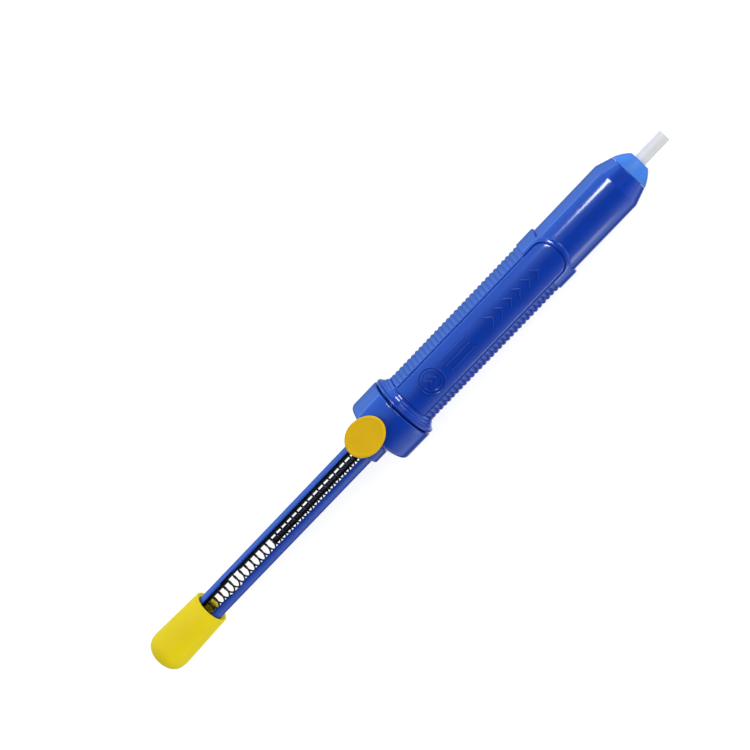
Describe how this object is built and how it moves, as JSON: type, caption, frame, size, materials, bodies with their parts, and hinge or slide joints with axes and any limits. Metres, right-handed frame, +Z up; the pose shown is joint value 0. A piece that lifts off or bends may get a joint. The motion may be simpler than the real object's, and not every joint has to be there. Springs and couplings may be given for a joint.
{
  "type": "desoldering pump",
  "caption": "Spring-driven desoldering pump with a ribbed barrel, slotted plunger with a push knob, release button and white nozzle.",
  "frame": {"origin": "on the surface that the pump lies on, below the middle of its released length", "axes": "+X along the pump towards the nozzle, +Z up through the release button's side; the axis is at height 18.6 mm"},
  "size_m": [0.3644, 0.0372, 0.0435],
  "materials": {
    "gloss_blue": "glossy moulded plastic",
    "satin_blue": "satin moulded plastic",
    "yellow_plastic": "matt moulded plastic",
    "button_yellow": "matt moulded plastic",
    "ptfe": "waxy translucent white",
    "piston_plastic": "matt",
    "rubber": "matt",
    "blackened_steel": "blackened wire",
    "bright_steel": "bright"
  },
  "bodies": {
    "barrel_assembly": {"barrel": "gloss_blue", "nose_cap": "satin_blue", "nose_cap_oring": "rubber", "nozzle": "ptfe", "nozzle_oring": "rubber"},
    "collar_assembly": {"collar": "gloss_blue", "spring_stop_bar": "bright_steel", "main_spring": "blackened_steel", "button_spring": "blackened_steel"},
    "plunger": {"plunger_shaft": "gloss_blue", "knob": "yellow_plastic", "guide_rod": "blackened_steel", "rod_nut": "bright_steel", "stop_bumper": "rubber", "piston": "piston_plastic", "piston_oring": "rubber", "piston_washer": "bright_steel", "pin_nut": "bright_steel", "cleaning_pin": "bright_steel"},
    "button": {"release_button": "button_yellow", "latch_plate": "bright_steel"}
  },
  "joints": [
    {"name": "collar_twist", "type": "hinge", "parent": "barrel_assembly", "child": "collar_assembly", "pos_m": [0, 0, 0.0186], "axis": [1, 0, 0], "range_deg": [0, 45]},
    {"name": "plunger_slide", "type": "slide", "parent": "collar_assembly", "child": "plunger", "axis": [1, 0, 0], "range_m": [0, 0.1105], "stiffness_N_per_m": 300, "springref_m": -0.035, "deforming": ["main_spring"]},
    {"name": "button_press", "type": "slide", "parent": "collar_assembly", "child": "button", "axis": [0, -0.2334, -0.9724], "range_m": [0, 0.002], "stiffness_N_per_m": 400, "springref_m": -0.003, "deforming": ["button_spring"]}
  ]
}
